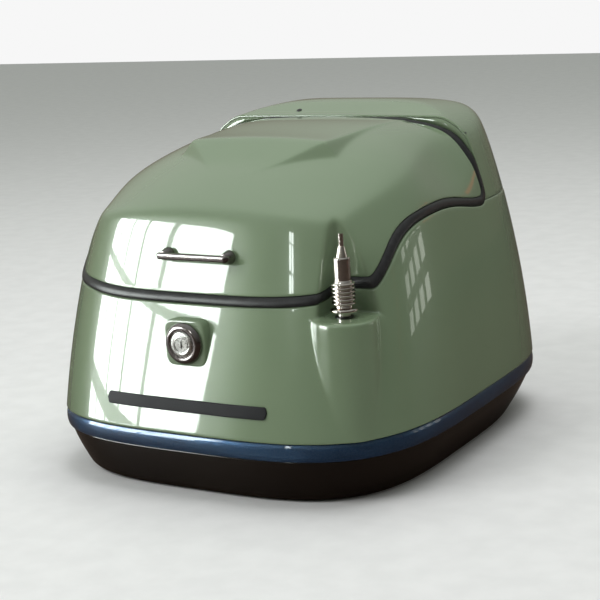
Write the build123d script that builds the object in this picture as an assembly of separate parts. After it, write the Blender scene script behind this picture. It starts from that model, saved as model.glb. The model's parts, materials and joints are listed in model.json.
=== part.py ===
from build123d import *
import math
import os

# Motorcycle top case. Millimetres, +Z up, origin at the centre of the base's underside.
# The lock face looks along -Y, the rider sits on the +Y side, +X is to the right of the lock.

# ---- main sizes -------------------------------------------------------------------------
HALF_WIDTH = 210.0          # half width of the shell at the top of the belt
HALF_LENGTH = 241.3         # half length of the shell at the top of the belt
FRONT_POWER = 3.55          # superellipse power of the front half of a level section
REAR_POWER = 4.24           # the same for the rear half
REAR_TAPER = 0.0769         # how much narrower the rear is than the front
BASE_TOP = 45.0             # top of the black base
BELT_TOP = 62.7             # top of the blue belt
SPLIT_Z = 246.0             # joint between the body shell and the arch cover
SHELL_TOP = 365.0           # above everything, for cutting
WALL = 4.0                  # shell thickness
SHELL_GAP = 0.3             # gap between stacked shells

# ---- seam between the lid and the rest ----------------------------------------------------
SEAM_HALF = 4.5             # half of the seam's width
REAR_SEAM_Y = 80.0          # the seam's vertical plane at the rear of the lid
SEAM_CORNER = 12.0          # radius where the side seam turns up into the rear plane
SEAM_LINE = [
    (-265, 185), (-230, 187), (-209, 189), (-190, 193.5), (-165, 198), (-150, 208),
    (-136, 221), (-120, 235), (-103, 245.5), (-69, 254.5), (-29, 257), (13, 254),
    (REAR_SEAM_Y - SEAM_CORNER, 247),
]

# ---- corner post for the antenna ---------------------------------------------------------
POST = (151.0, -181.0)      # centre of the post
POST_R = 31.0
SHELF_Z = 175.0             # top of the post
SCOOP = (131.0, -156.5)     # inner corner of the notch above the post
SCOOP_R = 10.0

# ---- lid and arch ------------------------------------------------------------------------
CROWN_Z = 333.0             # highest point of the lid's centre line
CROWN_Y = 45.0
RIDGE_Z = 348.0             # highest point of the arch
RIDGE_Y = 140.0
FLANK_SLOPE = 1.45          # fall of the lid's flanks beyond the shoulder line

# ---- hinge -------------------------------------------------------------------------------
HINGE_Y = REAR_SEAM_Y - 1.2
HINGE_Z = 326.5
HINGE_X = 50.0              # centre of each hinge
HINGE_W = 40.0              # width of each hinge
KNUCKLE_R = 2.8
PIN_R = 1.5
FIT = 0.05                  # radial clearance of a running fit

# ---- lock --------------------------------------------------------------------------------
LOCK_Z = 149.0
PAD_Y = -226.0              # flat face of the lock pad
PAD_BACK_Y = -209.0
PAD_SIZE = 46.0
BEZEL_R = 20.0
SLEEVE_R = 15.0
BUTTON_R = 13.0
PLUG_R = 7.0
CAM_Y = -188.0              # front face of the cam
CAM_T = 3.0
HOOK_R = 22.0               # inner radius of the cam's hook

# ---- mounting ----------------------------------------------------------------------------
BOLT_X = 140.0              # rack bolt spacing
BOLT_Y = 100.0
BOLT_HOLE_R = 4.25
PLATE_T = 3.0


def outline_point(half, front, rear, angle):
    """Point of a level section: a superellipse, squarer at the rear, narrowing rearwards."""
    mid = (front + rear) / 2
    reach = (rear - front) / 2
    power = FRONT_POWER if math.sin(angle) < 0 else REAR_POWER
    radius = (abs(math.cos(angle)) ** power + abs(math.sin(angle)) ** power) ** (-1 / power)
    y = mid + reach * radius * math.sin(angle)
    taper = 1 - REAR_TAPER * (y / (2 * HALF_LENGTH) + 0.25)
    return half * radius * math.cos(angle) * taper, y


def shell_size(z):
    """Half width, front and rear of the shell's outer face at height z."""
    t = z - BELT_TOP
    half = HALF_WIDTH - 0.026 * t - 0.000604 * t * t
    front = -HALF_LENGTH + 0.2324 * t + 0.000157 * t * t
    rear = HALF_LENGTH - 0.1729 * t + 0.000072 * t * t
    return half, front, rear


LEVEL_ANGLES = [2 * math.pi * (i + 0.5) / 28 for i in range(28)]


def chord_shares(points):
    """Share of a closed outline's length reached at each of its points, from 0 to 1."""
    reached = [0.0]
    for a, b in zip(points, points[1:] + points[:1]):
        reached.append(reached[-1] + math.dist(a, b))
    return [value / reached[-1] for value in reached]


LEVEL_SHARES = chord_shares([outline_point(HALF_WIDTH, -HALF_LENGTH, HALF_LENGTH, a) for a in LEVEL_ANGLES])


def level_wire(size, z, inset=0.0):
    half, front, rear = size
    points = []
    for angle in LEVEL_ANGLES:
        x, y = outline_point(half - inset, front + inset, rear - inset, angle)
        points.append(Vector(x, y, z))
    return Wire([Edge.make_spline(points, periodic=True, parameters=LEVEL_SHARES)])


def level_loft(levels, ruled=False):
    """Solid through (size, z, inset) levels."""
    return Solid.make_loft([level_wire(*level) for level in levels], ruled)


def shell_block(inset):
    """The shell's outer form as a solid, taken inwards by inset, with full corners."""
    heights = [BELT_TOP - 2, 160, 260, SHELL_TOP]
    return level_loft([(shell_size(z), z, inset) for z in heights])


def upright(x, y, radius, low, high):
    return Pos(x, y, (low + high) / 2) * Cylinder(radius, high - low)


def box(low, high):
    size = [b - a for a, b in zip(low, high)]
    centre = [(a + b) / 2 for a, b in zip(low, high)]
    return Pos(*centre) * Box(*size)


def scoop_cut(inset):
    """Upright cutter of the notch above the post, with a round inner corner, grown by inset."""
    x = SCOOP[0] - inset
    y = SCOOP[1] + inset
    cutter = box((x, y - 160, SHELF_Z - inset), (x + 160, y, SHELL_TOP + 1))
    corner = cutter.edges().filter_by(Axis.Z).sort_by(Axis.Y)[2:].sort_by(Axis.X)[0]
    return fillet(corner, SCOOP_R + inset)


def post_block(inset):
    return upright(*POST, POST_R - inset, BELT_TOP + inset, SHELF_Z - inset)


# ---- roof surfaces -----------------------------------------------------------------------
def soft_min(a, b, width):
    return (a + b - math.hypot(a - b, width)) / 2


def soft_max(a, b, width):
    return (a + b + math.hypot(a - b, width)) / 2


def smooth_step(value):
    value = min(max(value, 0.0), 1.0)
    return value * value * (3 - 2 * value)


def hood_height(x, y):
    """Raised hood panel on the lid: front facet, diagonal facets, side facets and a flat top."""
    front = 303 + 0.605 * (y + 115)
    diagonal = 303 - 1.034 * (x - 37) + 1.748 * (y + 115)
    side = 307 + 1.27 * (94 - x) + 0.12 * (y + 79)
    top = 328.5 + 4.5 * smooth_step((y + 77) / 110) - 2.5 * (x / 79) ** 2
    return soft_min(soft_min(front, diagonal, 3), soft_min(side, top, 3), 3)


def lid_height(x, y):
    """Height of the lid's top above the base's underside."""
    x = abs(x)
    y = min(y, REAR_SEAM_Y + 2)
    crown = CROWN_Z - 0.001143 * (y - CROWN_Y) ** 2
    drop = 27.5 - 0.00075 * (y + 70) ** 2
    shoulder = 147 + 9 * math.cos(math.pi * (y + 70) / 105)
    power = 2.4 + 1.6 * smooth_step((y + 150) / 230)
    dome = crown - drop * (x / shoulder) ** power
    flank = crown - drop + 2 + FLANK_SLOPE * (shoulder - x)
    roof = soft_min(dome, flank, 5 + 12 * smooth_step((y - 10) / 70))
    return soft_max(roof, hood_height(x, y), 3)


ROOF_X = [0.0, 40.0, 80.0, 115.0, 138.0, 152.0, 168.0, 190.0, 214.0]
LID_STATIONS = [-250, -200, -160, -125, -90, -55, -20, 20, 60, REAR_SEAM_Y + 6]
ARCH_SIDE = [(REAR_SEAM_Y - 10, 331), (REAR_SEAM_Y + 6, 334), (105, 342), (RIDGE_Y, 348), (170, 345), (195, 335), (215, 318)]


def under_surface(height, inset, stations):
    """Solid below a height surface taken inwards by inset, lofted along Y."""
    xs = [-x for x in reversed(ROOF_X[1:])] + ROOF_X
    wires = []
    for y in stations:
        points = []
        for x in xs:
            slope_x = (height(x + 1, y) - height(x - 1, y)) / 2
            slope_y = (height(x, y + 1) - height(x, y - 1)) / 2
            points.append(Vector(x, y, height(x, y) - inset * math.sqrt(1 + slope_x ** 2 + slope_y ** 2)))
        top = Edge.make_spline(points, parameters=[(x - xs[0]) / (xs[-1] - xs[0]) for x in xs])
        sides = Polyline(points[-1], (xs[-1], y, 100), (xs[0], y, 100), points[0])
        wires.append(Wire([top, *sides.edges()]))
    return Solid.make_loft(wires)


def lid_block(inset):
    """The shell's form under the lid's top, with full corners."""
    return shell_block(inset) & under_surface(lid_height, inset, LID_STATIONS)


def arch_block(inset):
    """The shell's form under the arch: a cross profile and a side profile, both extruded."""
    cross = [(x, RIDGE_Z - 2.9 * (x / 150) ** 2 - 22.3 * (x / 150) ** 4 - inset) for x in range(-195, 196, 30)]
    arc = Spline(*cross)
    walls = Polyline(cross[-1], (195, 150), (-195, 150), cross[0])
    cross_face = make_face(Wire([*arc.edges(), *walls.edges()]))
    side = [(y, z - inset) for y, z in ARCH_SIDE]
    crest = Spline(*side)
    ends = Polyline(side[-1], (side[-1][0], 150), (side[0][0], 150), side[0])
    side_face = make_face(Wire([*crest.edges(), *ends.edges()]))
    form = extrude(Plane.XZ * cross_face, amount=-300)
    return shell_block(inset) & form & across(side_face)


# ---- seam regions, as side views extruded across the whole width -------------------------
def seam_edges(offset):
    """The seam's centre line moved by offset towards the lid: curve, corner arc and riser."""
    centre = Spline(*SEAM_LINE, tangents=((1, 0.04), (1, 0)))
    count = 28
    points = []
    for i in range(count + 1):
        at = centre @ (i / count)
        way = centre % (i / count)
        points.append((at.X - way.Y * offset, at.Y + way.X * offset))
    curve = Spline(*points, tangents=((1, 0.04), (1, 0)))
    middle = (REAR_SEAM_Y - SEAM_CORNER, SEAM_LINE[-1][1] + SEAM_CORNER)
    corner = CenterArc(middle, SEAM_CORNER - offset, -90, 90)
    riser = Line((REAR_SEAM_Y - offset, middle[1]), (REAR_SEAM_Y - offset, SHELL_TOP + 5))
    return curve, corner, riser


def across(face):
    """Extrude a side view (Y, Z) over the whole width."""
    return extrude(Plane.YZ * face, amount=HALF_WIDTH + 20, both=True)


def lid_side(offset):
    """Everything on the lid's side of the seam."""
    curve, corner, riser = seam_edges(offset)
    start = curve @ 0
    end = riser @ 1
    closing = Polyline((end.X, end.Y), (start.X, end.Y), (start.X, start.Y))
    return across(make_face(Wire([curve, corner, riser, *closing.edges()])))


def export(name, shape):
    export_step(shape, f"parts/{name}.step")


os.makedirs("parts", exist_ok=True)

# ---- base tray ---------------------------------------------------------------------------
BASE_BOTTOM = (186.4, -221.4, 192.1)
BASE_RIM = (206.0, -238.3, 238.3)
FLOOR_T = 4.0
FLANGE_T = 3.0
FLANGE_INSET = 24.0         # how far the inward flanges reach
SCREW_INSET = 16.0


def base_size(z):
    share = math.sin(z / BASE_TOP * math.pi / 2)
    return tuple(a + (b - a) * (0.35 * share + 0.65 * z / BASE_TOP) for a, b in zip(BASE_BOTTOM, BASE_RIM))


def base_block(inset, low):
    heights = [low, (low + BASE_TOP) / 2, BASE_TOP - 0.2]
    return level_loft([(base_size(z), z, inset) for z in heights])


def perimeter_points(size, inset, count):
    half, front, rear = size
    for i in range(count):
        yield outline_point(half - inset, front + inset, rear - inset, 2 * math.pi * (i + 0.5) / count)


screw_places = list(perimeter_points(BASE_RIM, SCREW_INSET, 8))
bolt_places = [(sx * BOLT_X / 2, sy * BOLT_Y / 2) for sx in (-1, 1) for sy in (-1, 1)]
rim_low = BASE_TOP - 0.2 - FLANGE_T
tray = base_block(0, 0) - base_block(WALL, FLOOR_T) 
rim = level_loft([(BASE_RIM, z, 2.0) for z in (rim_low, BASE_TOP - 0.2)])
rim -= level_loft([(BASE_RIM, z, FLANGE_INSET - 2) for z in (rim_low - 1, BASE_TOP + 1)])
tray += rim & base_block(0, 0)
for place in screw_places:
    tray -= upright(*place, 2.7, rim_low - 1, BASE_TOP + 1)
for place in bolt_places:
    tray -= upright(*place, BOLT_HOLE_R, -1, FLOOR_T + 1)
CABLE_EXIT = (120.0, -120.0)
tray -= upright(*CABLE_EXIT, 6.1, -1, FLOOR_T + 1)
export("base_tray", tray)

plate = box((-BOLT_X / 2 - 22, -BOLT_Y / 2 - 22, FLOOR_T + 0.1), (BOLT_X / 2 + 22, BOLT_Y / 2 + 22, FLOOR_T + 0.1 + PLATE_T))
plate = fillet(plate.edges().filter_by(Axis.Z), 12)
mat = level_loft([(base_size(FLOOR_T + 4), z, 14) for z in (FLOOR_T + 0.1, FLOOR_T + 3.1)])
mat -= box((-BOLT_X / 2 - 23, -BOLT_Y / 2 - 23, 0), (BOLT_X / 2 + 23, BOLT_Y / 2 + 23, 20))
mat -= upright(*CABLE_EXIT, 12, 0, 20)
for place in bolt_places:
    plate -= upright(*place, BOLT_HOLE_R, 0, 20)
export("mounting_plate", plate)
export("floor_mat", mat)

# ---- belt --------------------------------------------------------------------------------
belt_levels = [(BASE_TOP, 3.0), (BASE_TOP + 3, 0.6), (BASE_TOP + 9, -0.6), (BELT_TOP - 3, 0.0), (BELT_TOP - 0.2, 2.0)]
belt_size = (HALF_WIDTH, -HALF_LENGTH, HALF_LENGTH)
belt = level_loft([(belt_size, z, inset) for z, inset in belt_levels], ruled=True)
belt -= level_loft([(belt_size, z, WALL) for z in (BASE_TOP - 1, BELT_TOP + 1)])
export("belt_trim", belt)

# ---- body shell --------------------------------------------------------------------------
HANDLE_AT = (-30.0, 40.0)   # X of the pull handle's two screws
HANDLE_Z = 230.0


def along_y(x, z, radius, low, high):
    """Cylinder along Y between two Y values."""
    return Pos(x, (low + high) / 2, z) * Rot(90, 0, 0) * Cylinder(radius, high - low)


DECK_T = 4.0
slab = box((-260, -300, BELT_TOP), (260, 300, SPLIT_Z))
slab += box((-260, -300, BELT_TOP), (260, 40, SPLIT_Z + 10))
body = (shell_block(0) & slab) - lid_side(-SEAM_HALF) - scoop_cut(0) + post_block(0)
cavity = shell_block(WALL)
cavity -= box((-260, REAR_SEAM_Y + SEAM_HALF - 0.5, SPLIT_Z - DECK_T), (260, 300, SPLIT_Z + 5))
body -= cavity - scoop_cut(WALL)
body -= post_block(WALL)
pad = box((-PAD_SIZE / 2, PAD_Y, LOCK_Z - PAD_SIZE / 2), (PAD_SIZE / 2, PAD_BACK_Y, LOCK_Z + PAD_SIZE / 2))
pad = fillet(pad.edges().filter_by(Axis.Y), 7)
body += pad
body -= along_y(0, LOCK_Z, SLEEVE_R + 0.2, PAD_Y - 9, PAD_BACK_Y + 9)
ANTENNA_HOLE_R = 5.2
body -= upright(*POST, ANTENNA_HOLE_R, SHELF_Z - 12, SHELF_Z + 5)
arch_screws_at = [(-150, 110), (150, 110), (-110, 196), (110, 196)]
for place in arch_screws_at:
    body -= upright(*place, 2.6, SPLIT_Z - 10, SPLIT_Z + 5)
export("body_shell", body)

# ---- ring inside the shell's foot, and its fasteners ----------------------------------------
RING_TOP = 80.0
ring_levels = [(belt_size, BASE_TOP), (belt_size, BELT_TOP), (shell_size(RING_TOP), RING_TOP)]
ring = level_loft([(size, z, WALL + SHELL_GAP) for size, z in ring_levels], ruled=True)
bore_levels = [(belt_size, BASE_TOP + FLANGE_T), (belt_size, BELT_TOP), (shell_size(RING_TOP), RING_TOP + 1)]
ring -= level_loft([(size, z, WALL + SHELL_GAP + 3) for size, z in bore_levels], ruled=True)
ring -= level_loft([(belt_size, z, FLANGE_INSET) for z in (BASE_TOP - 1, BASE_TOP + FLANGE_T + 1)])
ring -= upright(*POST, POST_R + 1, BELT_TOP - 1, RING_TOP + 1)
for place in screw_places:
    ring -= upright(*place, 2.7, BASE_TOP - 1, BASE_TOP + FLANGE_T + 1)
export("foot_ring", ring)

screw_top = BASE_TOP + FLANGE_T
shell_screws = []
shell_nuts = []
for place in screw_places:
    head = upright(*place, 4.5, screw_top, screw_top + 3)
    shell_screws.append(head + upright(*place, 2.45, rim_low - 9, screw_top))
    nut = Pos(place[0], place[1], rim_low - 4.2) * extrude(RegularPolygon(4.6, 6), amount=4)
    shell_nuts.append(nut - upright(*place, 2.5, rim_low - 9, rim_low + 1))
export("shell_screws", Compound(children=shell_screws))
export("shell_nuts", Compound(children=shell_nuts))

# ---- arch cover and bulkhead ---------------------------------------------------------------
arch_low = SPLIT_Z + SHELL_GAP
arch_zone = box((-260, REAR_SEAM_Y - 20, arch_low), (260, 300, 400)) - lid_side(-SEAM_HALF)
arch_outer = arch_block(0)
arch = (arch_outer & arch_zone) - arch_block(WALL)
lip = (arch_outer & box((-260, REAR_SEAM_Y + 10, arch_low), (260, 300, arch_low + 3))) - level_loft(
    [(shell_size(SPLIT_Z), z, 22) for z in (arch_low - 2, arch_low + 6)])
lip = lip & arch_outer
arch += lip
for place in arch_screws_at:
    arch += upright(*place, 6, arch_low, arch_low + 10)
    arch -= upright(*place, 2.55, arch_low - 1, arch_low + 8.5)
export("arch_cover", arch)
arch_screws = []
for place in arch_screws_at:
    low = SPLIT_Z - DECK_T - 0.05
    arch_screws.append(upright(*place, 4.8, low - 3, low) + upright(*place, 2.5, low, arch_low + 8))
export("arch_screws", Compound(children=arch_screws))

BULKHEAD_Y = REAR_SEAM_Y + 5.2
BULKHEAD_T = 3.0
bulkhead_form = arch_block(WALL + 0.3)
bulkhead = bulkhead_form & box((-260, BULKHEAD_Y, arch_low), (260, BULKHEAD_Y + BULKHEAD_T, 400))

# ---- lid shell and liner -------------------------------------------------------------------
lid_outer = lid_block(0)
lid = (lid_outer & lid_side(SEAM_HALF)) - scoop_cut(0)
lid -= lid_block(WALL) - scoop_cut(WALL)
BOSS_Z = 215.0
boss = box((1, -206, BOSS_Z - 10), (37, -182.3, BOSS_Z + 10)) & lid_outer
lid += boss
for side in (-1, 1):
    lid -= along_y(19 + side * 9, BOSS_Z, 2.05, -194, -180)
for x in HANDLE_AT:
    lid -= along_y(x, HANDLE_Z, 2.6, -230, -180)
liner_zone = box((-260, -150, 262), (260, REAR_SEAM_Y - 45, 400))
liner = (lid_block(WALL + 1.5) & liner_zone) - lid_block(WALL + 3.5) - scoop_cut(WALL + 1.5)
export("lid_liner", liner)

# ---- lid seal ------------------------------------------------------------------------------
seal_zone = lid_side(-SEAM_HALF + 0.5) - lid_side(SEAM_HALF - 0.1)
seal = (lid_block(1.2) & seal_zone) - scoop_cut(1.2)
seal -= lid_block(8) - scoop_cut(8)
seal -= box((-200, REAR_SEAM_Y - 0.5, 322), (200, REAR_SEAM_Y + 20, 400))
for side in (-1, 1):
    low = side * HINGE_X - HINGE_W / 2 - 0.5
    seal -= box((low, REAR_SEAM_Y - 20, 300), (low + HINGE_W + 1, REAR_SEAM_Y + 20, HINGE_Z + KNUCKLE_R + 0.2))
export("lid_seal", seal)

# ---- hinges --------------------------------------------------------------------------------
LEAF_T = 2.2
LEAF_CORNER_X = 51.5        # outer rear corners of the lid leaves are cut away from here


def along_x(y, z, radius, low, high):
    """Cylinder along X between two X values."""
    return Pos((low + high) / 2, y, z) * Rot(0, 90, 0) * Cylinder(radius, high - low)


lid_leaves = []
body_leaves = []
pins = []
lid_hinge_screws = []
body_hinge_screws = []
for side in (-1, 1):
    low = side * HINGE_X - HINGE_W / 2
    high = low + HINGE_W
    third = HINGE_W / 3
    leaf = box((low, REAR_SEAM_Y - 36, HINGE_Z - KNUCKLE_R), (high, HINGE_Y - 3.4, HINGE_Z - KNUCKLE_R + LEAF_T))
    leaf += box((low + third, HINGE_Y - 4, HINGE_Z - KNUCKLE_R), (high - third, HINGE_Y, HINGE_Z - KNUCKLE_R + LEAF_T))
    leaf += along_x(HINGE_Y, HINGE_Z, KNUCKLE_R, low + third, high - third)
    leaf -= along_x(HINGE_Y, HINGE_Z, PIN_R + FIT, low, high)
    corner = sorted((side * LEAF_CORNER_X, side * 80))
    leaf -= box((corner[0], HINGE_Y - 13, 300), (corner[1], HINGE_Y - KNUCKLE_R - 0.3, 340))
    plate_y = BULKHEAD_Y - 0.1 - LEAF_T
    back = box((low, plate_y, HINGE_Z - 28), (high, plate_y + LEAF_T, HINGE_Z - KNUCKLE_R + LEAF_T))
    back += box((low, HINGE_Y, HINGE_Z - KNUCKLE_R), (high, plate_y + 1, HINGE_Z - KNUCKLE_R + LEAF_T))
    back += along_x(HINGE_Y, HINGE_Z, KNUCKLE_R, low, high)
    back -= box((low + third - 0.3, HINGE_Y - 10, HINGE_Z - 6), (high - third + 0.3, plate_y - 0.2, HINGE_Z + 6))
    back -= along_x(HINGE_Y, HINGE_Z, PIN_R + 0.01, low - 1, high + 1)
    for shift in (-12, 12):
        at = side * HINGE_X + shift
        leaf -= upright(at, REAR_SEAM_Y - 24, 2.1, 300, 340)
        lid -= upright(at, REAR_SEAM_Y - 24, 1.6, 320, HINGE_Z + 4)
        back -= along_y(at, HINGE_Z - 18, 2.1, REAR_SEAM_Y - 5, REAR_SEAM_Y + 12)
        bulkhead -= along_y(at, HINGE_Z - 18, 2.1, REAR_SEAM_Y - 5, REAR_SEAM_Y + 12)
        under = HINGE_Z - KNUCKLE_R
        lid_hinge_screws.append(
            upright(at, REAR_SEAM_Y - 24, 3.6, under - 1.8, under - 0.02)
            + upright(at, REAR_SEAM_Y - 24, 1.5, under - 0.5, HINGE_Z + 3.4))
        body_hinge_screws.append(
            along_y(at, HINGE_Z - 18, 3.6, plate_y - 1.8, plate_y - 0.02)
            + along_y(at, HINGE_Z - 18, 2.0, plate_y - 0.5, BULKHEAD_Y + BULKHEAD_T + 5))
    lid_leaves.append(leaf)
    body_leaves.append(back)
    pins.append(along_x(HINGE_Y, HINGE_Z, PIN_R, low + 0.2, high - 0.2))
export("rear_bulkhead", bulkhead)
export("lid_shell", lid)
export("hinge_lid_leaves", Compound(children=lid_leaves))
export("hinge_body_leaves", Compound(children=body_leaves))
export("hinge_pins", Compound(children=pins))
export("hinge_lid_screws", Compound(children=lid_hinge_screws))
export("hinge_body_screws", Compound(children=body_hinge_screws))

# ---- lock ----------------------------------------------------------------------------------
face_y = PAD_Y - 0.05
bezel = along_y(0, LOCK_Z, BEZEL_R, face_y - 3.5, face_y) + along_y(0, LOCK_Z, SLEEVE_R, face_y - 1, -196)
bezel = chamfer(bezel.edges().filter_by(GeomType.CIRCLE).sort_by(Axis.Y)[0], 1.2)
bezel -= along_y(0, LOCK_Z, BUTTON_R + FIT, face_y - 9, -190)
export("lock_bezel", bezel)
lock_nut = Pos(0, PAD_BACK_Y + 5.2, LOCK_Z) * Rot(90, 0, 0) * extrude(RegularPolygon(21, 6), amount=5)
lock_nut -= along_y(0, LOCK_Z, SLEEVE_R + 0.1, PAD_BACK_Y - 5, PAD_BACK_Y + 10)
export("lock_nut", lock_nut)

button = along_y(0, LOCK_Z, BUTTON_R, face_y - 5, CAM_Y - 5)
dome = Pos(0, face_y - 7 + 40, LOCK_Z) * Sphere(40)
button &= dome + along_y(0, LOCK_Z, BUTTON_R + 1, face_y - 1, 0)
button -= along_y(0, LOCK_Z, PLUG_R + FIT, face_y - 20, 0)
export("lock_button", button)
plug = along_y(0, LOCK_Z, PLUG_R, face_y - 6, CAM_Y - 0.05)
plug &= dome + along_y(0, LOCK_Z, PLUG_R + 1, face_y - 1, 0)
plug -= box((-0.9, face_y - 10, LOCK_Z - 3.5), (0.9, face_y + 3, LOCK_Z + 3.5))
plug -= along_y(0, LOCK_Z, 1.6, CAM_Y - 8, CAM_Y + 1)
export("lock_plug", plug)

arm = box((-26, CAM_Y, LOCK_Z - 5), (0, CAM_Y + CAM_T, LOCK_Z + 5)) + along_y(0, LOCK_Z, 8, CAM_Y, CAM_Y + CAM_T)
hook = along_y(0, LOCK_Z, HOOK_R + 5, CAM_Y, CAM_Y + CAM_T) - along_y(0, LOCK_Z, HOOK_R, CAM_Y - 1, CAM_Y + 5)
hook &= box((-40, CAM_Y - 1, LOCK_Z - 5), (-18, CAM_Y + 5, LOCK_Z + 14))
cam = (arm & along_y(0, LOCK_Z, HOOK_R + 5, CAM_Y, CAM_Y + CAM_T)) + hook
cam -= along_y(0, LOCK_Z, 1.6, CAM_Y - 1, CAM_Y + 5)
export("lock_cam", cam)
cam_screw = along_y(0, LOCK_Z, 3.5, CAM_Y + CAM_T + 0.05, CAM_Y + CAM_T + 2.2)
cam_screw += along_y(0, LOCK_Z, 1.5, CAM_Y - 7, CAM_Y + CAM_T + 1)
export("cam_screw", cam_screw)

striker_y = -182.0
striker = box((7, striker_y, 161), (31, striker_y + 2, BOSS_Z + 10))
striker += box((7, striker_y - 7, 161), (14, striker_y + 1, 165))
striker_screws = []
for side in (-1, 1):
    at = 19 + side * 9
    striker -= along_y(at, BOSS_Z, 2.1, striker_y - 9, striker_y + 9)
    striker_screws.append(
        along_y(at, BOSS_Z, 3.8, striker_y + 2.05, striker_y + 4.4) + along_y(at, BOSS_Z, 2.0, -193, striker_y + 3))
export("lid_striker", striker)
export("striker_screws", Compound(children=striker_screws))

# ---- pull handle -----------------------------------------------------------------------------
HANDLE_Y = -211.5
HANDLE_OVERHANG = 7.0       # of the bar beyond each screw
face_at = shell_size(HANDLE_Z)[1]
grip = along_x(HANDLE_Y, HANDLE_Z, 3.5, HANDLE_AT[0] - HANDLE_OVERHANG, HANDLE_AT[1] + HANDLE_OVERHANG)
grip = fillet(grip.edges().filter_by(GeomType.CIRCLE), 2.5)
handle_screws = []
for x in HANDLE_AT:
    grip += along_y(x, HANDLE_Z, 5.0, HANDLE_Y, face_at - 1.6)
for x in HANDLE_AT:
    grip -= along_y(x, HANDLE_Z, 2.05, HANDLE_Y + 2, face_at + 1)
    handle_screws.append(
        along_y(x, HANDLE_Z, 4.0, face_at + 5.6, face_at + 8)
        + along_y(x, HANDLE_Z, 2.0, HANDLE_Y + 3, face_at + 6))
export("pull_handle", grip)
export("handle_screws", Compound(children=handle_screws))

# ---- antenna socket ---------------------------------------------------------------------------
base_z = SHELF_Z + 0.05
gasket = upright(*POST, 9, base_z, base_z + 1) - upright(*POST, 5.3, base_z - 1, base_z + 5)
foot = upright(*POST, 7, base_z + 1.05, base_z + 6) + upright(*POST, 13.5, base_z + 6, base_z + 9)
foot += upright(*POST, 5, SHELF_Z - 14, base_z + 2)
foot = foot + upright(*POST, 8, base_z + 8, base_z + 12)
foot -= upright(*POST, 2.0, 100, 400)
barrel = upright(*POST, 9.5, base_z + 12.05, base_z + 34)
for i in range(6):
    rib = base_z + 13 + 3.6 * i
    barrel += upright(*POST, 11.5, rib, rib + 2)
barrel += upright(*POST, 8, base_z + 33, base_z + 57)
barrel -= upright(*POST, 2.0, 100, 400)
neck = Pos(POST[0], POST[1], base_z + 62.1) * Cone(5.5, 3.2, 10)
neck -= upright(*POST, 2.0, 100, 400)
tip = upright(*POST, 1.95, base_z + 30, base_z + 68) + upright(*POST, 2.4, base_z + 67.5, base_z + 79)
antenna_nut = Pos(POST[0], POST[1], SHELF_Z - WALL - 5.2) * extrude(RegularPolygon(10, 6), amount=5)
antenna_nut -= upright(*POST, 5.05, 100, 400)
export("antenna_gasket", gasket)
export("antenna_foot", foot)
export("antenna_barrel", barrel)
export("antenna_neck", neck)
export("antenna_tip", tip)
export("antenna_nut", antenna_nut)

# ---- antenna cable ----------------------------------------------------------------------------
drop = Spline(
    (POST[0], POST[1], SHELF_Z - 14.5), (POST[0], POST[1], 110), (POST[0] - 8, POST[1] + 14, 60),
    (CABLE_EXIT[0], CABLE_EXIT[1], 22), (CABLE_EXIT[0], CABLE_EXIT[1], -4),
    tangents=((0, 0, -1), (0, 0, -1)))
cable = sweep(Plane(drop @ 0, z_dir=drop % 0) * Circle(2.5), path=drop)
cable -= box((-300, -300, -20), (300, 300, 0.5))
export("antenna_cable", cable)
grommet = upright(*CABLE_EXIT, 6, 0.3, FLOOR_T + 0.1) + upright(*CABLE_EXIT, 9, FLOOR_T + 0.1, FLOOR_T + 3)
grommet -= upright(*CABLE_EXIT, 3.2, -5, 20)
export("cable_grommet", grommet)

# ---- badge ------------------------------------------------------------------------------------
BADGE_HALF = 92.0
BADGE_Z = 90.0
badge = shell_block(-2.2) - shell_block(-0.1)
badge &= box((-BADGE_HALF, -300, BADGE_Z - 6), (BADGE_HALF, 0, BADGE_Z + 6))
export("badge_bar", badge)
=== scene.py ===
import json
import math

import bpy
import numpy as np
from mathutils import Matrix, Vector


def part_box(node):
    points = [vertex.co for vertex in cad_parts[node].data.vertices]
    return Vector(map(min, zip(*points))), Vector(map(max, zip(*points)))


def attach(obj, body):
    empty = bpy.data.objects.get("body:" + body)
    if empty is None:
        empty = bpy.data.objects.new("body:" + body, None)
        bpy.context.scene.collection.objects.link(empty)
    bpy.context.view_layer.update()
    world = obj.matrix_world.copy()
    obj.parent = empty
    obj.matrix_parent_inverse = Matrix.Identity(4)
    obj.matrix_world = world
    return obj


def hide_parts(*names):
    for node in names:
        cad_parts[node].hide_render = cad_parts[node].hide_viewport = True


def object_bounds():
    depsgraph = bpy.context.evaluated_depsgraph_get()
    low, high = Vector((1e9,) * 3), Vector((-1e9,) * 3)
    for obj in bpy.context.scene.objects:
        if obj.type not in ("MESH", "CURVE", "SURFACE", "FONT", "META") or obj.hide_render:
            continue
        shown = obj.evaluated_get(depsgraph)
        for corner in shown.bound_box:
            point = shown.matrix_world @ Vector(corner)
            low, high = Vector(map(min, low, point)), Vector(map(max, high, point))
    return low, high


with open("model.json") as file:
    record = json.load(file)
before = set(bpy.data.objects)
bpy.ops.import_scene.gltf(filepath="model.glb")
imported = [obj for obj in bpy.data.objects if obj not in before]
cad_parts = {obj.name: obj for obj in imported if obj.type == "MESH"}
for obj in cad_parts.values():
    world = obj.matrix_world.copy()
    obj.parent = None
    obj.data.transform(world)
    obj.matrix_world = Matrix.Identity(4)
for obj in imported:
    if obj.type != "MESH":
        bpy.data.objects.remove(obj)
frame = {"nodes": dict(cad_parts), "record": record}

CAD_BOX = [list(corner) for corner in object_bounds()]
MM = 0.001

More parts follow.
